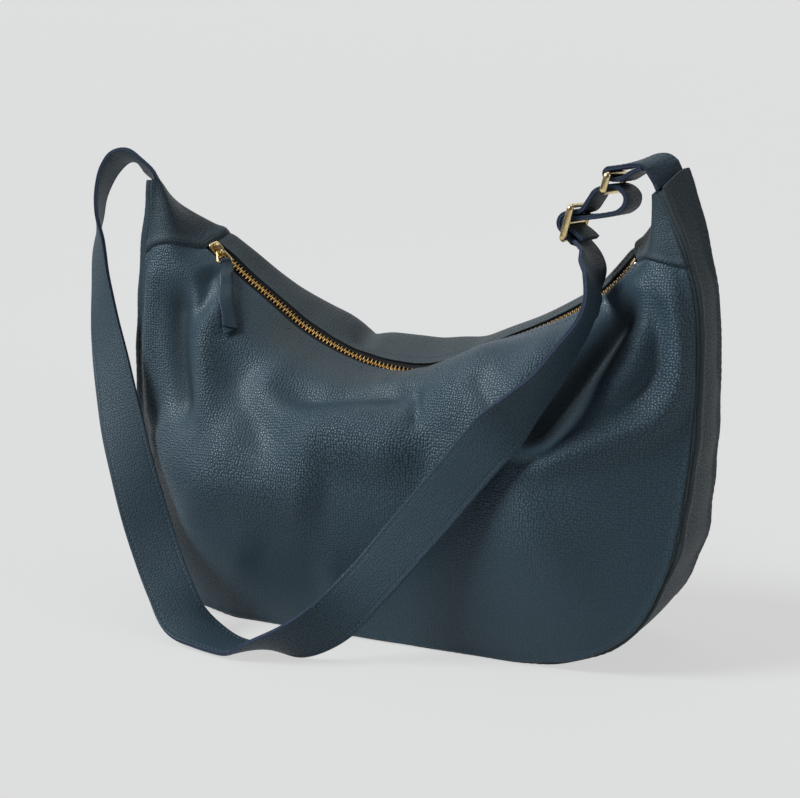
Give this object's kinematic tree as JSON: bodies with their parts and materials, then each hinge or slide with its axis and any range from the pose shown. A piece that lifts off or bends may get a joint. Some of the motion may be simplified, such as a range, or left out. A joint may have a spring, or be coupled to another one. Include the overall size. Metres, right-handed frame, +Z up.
{
  "type": "crescent shoulder bag",
  "caption": "Crescent leather shoulder bag with a curved metal zip, slider with a hanging tab, and a wide strap that adjusts through a slide and a ring.",
  "frame": {"origin": "middle of the flat underside of the base, on the floor", "axes": "+X along the bag towards the strap's slide, -Y to the front panel, +Z up"},
  "size_m": [0.4638, 0.2113, 0.3277],
  "materials": {
    "leather": "pebbled, low sheen",
    "leather_inner": "smooth, matt",
    "tape": "woven",
    "teeth": "satin",
    "brass": "polished"
  },
  "bodies": {
    "bag": {"front_panel": "leather", "back_panel": "leather", "gusset": "leather", "horn_cap_left": "leather", "horn_cap_right": "leather", "zip_tape_front": "tape", "zip_tape_back": "tape", "zip_teeth_front": "teeth", "zip_teeth_back": "teeth", "zip_bottom_stop": "brass", "zip_top_stop_front": "brass", "zip_top_stop_back": "brass"},
    "slider": {"slider_body": "brass", "slider_crown": "brass"},
    "puller": {"puller_loop": "brass"},
    "tab": {"pull_tab": "leather"},
    "strap": {"strap_outer_ply": "leather", "strap_inner_ply": "leather_inner", "short_strap_outer_ply": "leather", "short_strap_inner_ply": "leather_inner"},
    "ring": {"strap_ring": "brass"},
    "slide": {"strap_slide": "brass"}
  },
  "joints": [
    {"name": "slider_travel", "type": "hinge", "parent": "bag", "child": "slider", "pos_m": [0, 0, 0.38199], "axis": [0, -1, 0], "range_deg": [0, 98.5], "deforming": ["zip_teeth_front", "zip_teeth_back", "pull_tab"]},
    {"name": "puller_swing", "type": "hinge", "parent": "slider", "child": "puller", "pos_m": [-0.14898, -0.00072, 0.25347], "axis": [-0.536, -0.8365, -0.1139], "range_deg": [0, 115]},
    {"name": "tab_swing", "type": "hinge", "parent": "puller", "child": "tab", "pos_m": [-0.14308, -0.00357, 0.24659], "axis": [-0.536, -0.8365, -0.1139], "range_deg": [0, 85]},
    {"name": "strap_swing", "type": "hinge", "parent": "bag", "child": "strap", "pos_m": [0, 0, 0.304], "axis": [-1, 0, 0], "range_deg": [0, 150], "deforming": ["strap_outer_ply", "strap_inner_ply", "short_strap_outer_ply", "short_strap_inner_ply"]},
    {"name": "ring_swivel", "type": "hinge", "parent": "strap", "child": "ring", "pos_m": [0.14482, 0, 0.31171], "axis": [0, 1, 0], "range_deg": [-8, 2]},
    {"name": "slide_tilt", "type": "hinge", "parent": "strap", "child": "slide", "pos_m": [0.11861, 0, 0.28058], "axis": [0, 1, 0], "range_deg": [-2, 8]}
  ]
}
